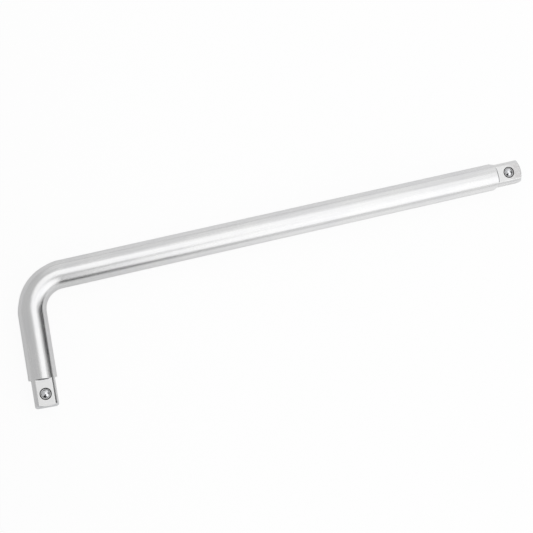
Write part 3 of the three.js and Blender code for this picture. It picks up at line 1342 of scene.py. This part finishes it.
@dataclass
class Studio:
    """Pale table with painted shade towards -X, soft lamps and a pale room round them.

    Camera and reflections see the table part way to plain white. On the inner side of the long leg, reflections
    see it all but white, a painted pool of light, and the more so away from the short leg.
    """

    table_height: float = -7.75 * MM
    table_half: float = 3.0
    table_colour: str = "#FAFAFA"
    # Painted shade: the paper is darker towards -X, the side away from the key lamps.
    table_shade_colour: str = "#DCDCDC"
    table_shade_grade: Range = (-0.12, 0.12)
    fibre_size: float = 2.0 * MM
    fibre_share: float = 0.08
    card_colour: str = "#3C3C3C"
    room_light: float = 0.6
    shown_white: float = 0.94
    reflected_white: float = 0.08
    # Painted pool of light: how near plain white reflections see the table on the inner side of the long leg.
    light_pool_white: float = 0.95
    inner_along: Range = (0.03, 0.21)
    inner_across: Range = (0.067, 0.044)
    inner_slope: float = -0.07
    lamps: tuple[SoftBox, ...] = (
        SoftBox("overhead_box", (0.27, 0.335, 1.2), (0.27, 0.335, 0.0), 0.74, 0.93, 0.68),
        SoftBox("overhead_end", (0.78, 0.335, 1.2), (0.78, 0.335, 0.0), 0.28, 0.93, 0.61),
        SoftBox("overhead_wing", (-0.22, 0.5, 1.2), (-0.22, 0.5, 0.0), 0.24, 0.6, 0.64),
        SoftBox("near_wing", (-0.2, 0.08, 1.2), (-0.2, 0.08, 0.0), 0.2, 0.24, 0.1),
        SoftBox("key_box", (0.735, -0.672, 0.741), (0.735, -0.044, -0.037), 1.13, 0.81, 0.75),
        SoftBox("key_top", (0.8, -0.234, 1.093), (0.8, 0.394, 0.315), 1.0, 0.315, 0.72),
        SoftBox("back_fill", (0.5, 1.5, 0.7), (0.2, 0.06, 0.0), 2.4, 1.2, 0.19),
        SoftBox("far_fill", (1.1, 1.45, 0.6), (0.25, 0.08, 0.0), 1.3, 1.2, 0.15),
        SoftBox("gap_fill", (0.85, 0.87, 1.03), (0.85, 0.08, 0.0), 1.5, 0.29, 0.23),
        SoftBox("front_fill", (0.96, -1.1, 0.27), (0.96, 0.08, 0.0), 1.04, 0.47, 0.2),
        SoftBox("back_wing", (0.35, 1.04, 1.2), (0.35, 1.04, 0.0), 0.5, 0.48, 0.15),
        SoftBox("back_patch", (0.42, 1.3, 0.78), (0.42, 0.08, 0.0), 0.36, 1.15, 0.09),
        SoftBox("right_fill", (1.371, -0.39, 0.726), (0.015, 0.05, 0.0), 0.76, 0.74, 0.12),
    )
    cards: tuple[BlackCard, ...] = (
        BlackCard("right_card", tuple((RIGHT_CARD_X, y, z) for y, z in RIGHT_CARD_OUTLINE)),
        BlackCard("front_card", tuple((x, FRONT_CARD_Y, z) for x, z in FRONT_CARD_OUTLINE)),
        BlackCard("front_flag", FRONT_FLAG_CORNERS),
    )

    def white_share(self, tree: Tree, x: Socket, y: Socket) -> Socket:
        """Work out how far towards plain white each ray sees the table, with a painted pool of light that
        reflections see beside the long leg.

        Args:
            tree: The paper's tree.
            x: The place on the table along the long leg.
            y: The place on the table along the short leg.

        Returns:
            The share of plain white.
        """
        ray = add_node(tree, "ShaderNodeLightPath").outputs
        mirrored = computed(tree, "MAXIMUM", ray["Is Glossy Ray"], ray["Is Transmission Ray"])
        # A painted pool of light on the inner side of the long leg, away from the short leg, which only
        # reflections see.
        along = ranged(tree, x, self.inner_along, smooth=True)
        beside_leg = computed(tree, "MULTIPLY_ADD", x, self.inner_slope, y)
        inner = computed(tree, "MULTIPLY", along, ranged(tree, beside_leg, self.inner_across, smooth=True))
        mirror_share = computed(tree, "MULTIPLY_ADD", inner, self.light_pool_white, self.reflected_white)
        mirrored = computed(tree, "MULTIPLY", mirrored, mirror_share)
        return computed(tree, "MULTIPLY_ADD", ray["Is Camera Ray"], self.shown_white, mirrored)

    def table_paper(self) -> Material:
        """Make the table's paper: matt, pale, with painted shade that darkens it a little towards -X, and a faint
        fibre mottle.

        Returns:
            The material, on which shadows stay.
        """
        material, tree, shader = new_material("matt_white_paper")
        place = object_place(tree)
        across = add_node(tree, "ShaderNodeSeparateXYZ", {0: place}).outputs
        fibre = noise(tree, place, size=self.fibre_size, detail=3.0)
        # Painted shade, darker towards -X.
        side_shade = ranged(tree, across["X"], self.table_shade_grade, smooth=True)
        fibre_and_shade = computed(tree, "MULTIPLY_ADD", fibre, self.fibre_share, side_shade)
        colour = tinted(tree, fibre_and_shade, self.table_shade_colour, self.table_colour)
        feed(tree, shader, {"Base Color": colour, "Roughness": 1.0, "Specular IOR Level": 0.0})
        white = add_node(tree, "ShaderNodeEmission", {"Color": linear("#FFFFFF"), "Strength": 1.0})
        share = self.white_share(tree, across["X"], across["Y"])
        layers = {0: share, 1: shader.outputs["BSDF"], 2: white.outputs["Emission"]}
        mixed = add_node(tree, "ShaderNodeMixShader", layers).outputs["Shader"]
        feed(tree, next(n for n in tree.nodes if n.type == "OUTPUT_MATERIAL"), {"Surface": mixed})
        return material

    def black_paper(self) -> Material:
        """Make the cards' paper.

        Returns:
            The material, matt and black.
        """
        material, tree, shader = new_material("matt_black_paper")
        feed(tree, shader, {"Base Color": linear(self.card_colour), "Roughness": 1.0, "Specular IOR Level": 0.0})
        return material

    def room(self) -> bpy.types.World:
        """Make the room, which is one even pale light from all sides.

        Returns:
            The world.
        """
        world = bpy.data.worlds.new("pale_room")
        world.use_nodes = True
        tree = world.node_tree
        tree.nodes.clear()
        lit = add_node(tree, "ShaderNodeBackground", {"Color": linear("#FFFFFF"), "Strength": self.room_light})
        add_node(tree, "ShaderNodeOutputWorld", {"Surface": lit.outputs[0]})
        return world

    def build(self) -> None:
        """Lay the table, hang the lamps and stand the cards."""
        half, height = self.table_half, self.table_height
        data = bpy.data.meshes.new("table_top")
        corners = [(-half, -half, height), (half, -half, height), (half, half, height), (-half, half, height)]
        data.from_pydata(corners, [], [(0, 1, 2, 3)])
        data.materials.append(self.table_paper())
        new_piece("table_top", data)
        bpy.context.scene.world = self.room()
        for lamp in self.lamps:
            lamp.build()
        paper = self.black_paper()
        for card in self.cards:
            card.build(paper)


@dataclass(frozen=True)
class PhotoCamera:
    """The camera, where the photograph was taken from."""

    place: Place = (-0.023665, 0.002262, 0.731999)
    right: Place = (0.96630, -0.17038, 0.19297)
    up: Place = (0.15215, 0.98269, 0.10574)
    lens: float = 90.12
    sensor: float = 36.0
    nearest: float = 0.01
    farthest: float = 20.0

    def build(self) -> Piece:
        """Set the camera up.

        Returns:
            The camera's object, which is the scene's camera.
        """
        camera = bpy.data.cameras.new("photo_camera")
        camera.lens, camera.sensor_width = self.lens, self.sensor
        camera.clip_start, camera.clip_end = self.nearest, self.farthest
        camera_object = new_piece("photo_camera", camera)
        right, up = Vector(self.right).normalized(), Vector(self.up)
        back = right.cross(up).normalized()
        axes = Matrix((right, back.cross(right), back)).transposed()
        camera_object.matrix_world = Matrix.Translation(self.place) @ axes.to_4x4()
        bpy.context.scene.camera = camera_object
        return camera_object


def report(piece: Piece) -> None:
    """Log one finished piece.

    Args:
        piece: The piece.
    """
    triangles = sum(len(p.vertices) - 2 for p in piece.data.polygons)
    LOG.info("%s: %d triangles, materials %s", piece.name, triangles, [m.name for m in piece.data.materials])


def main() -> None:
    """Build the camera, the studio and the handle's pieces in order."""
    logging.basicConfig(level=logging.INFO, format="%(name)s: %(message)s")
    bpy.context.scene.view_settings.view_transform = "Standard"
    PhotoCamera().build()
    Studio().build()
    report(HandleBar().build())
    ball_finish, wire_finish = LappedBallSteel().material(), DrawnSpringWire().material()
    winding = DetentSpring.winding_tree()
    for end in End:
        report(DetentBall(end).build(ball_finish))
        report(DetentSpring(end).build(winding, wire_finish))


if __name__ == "__main__":
    main()
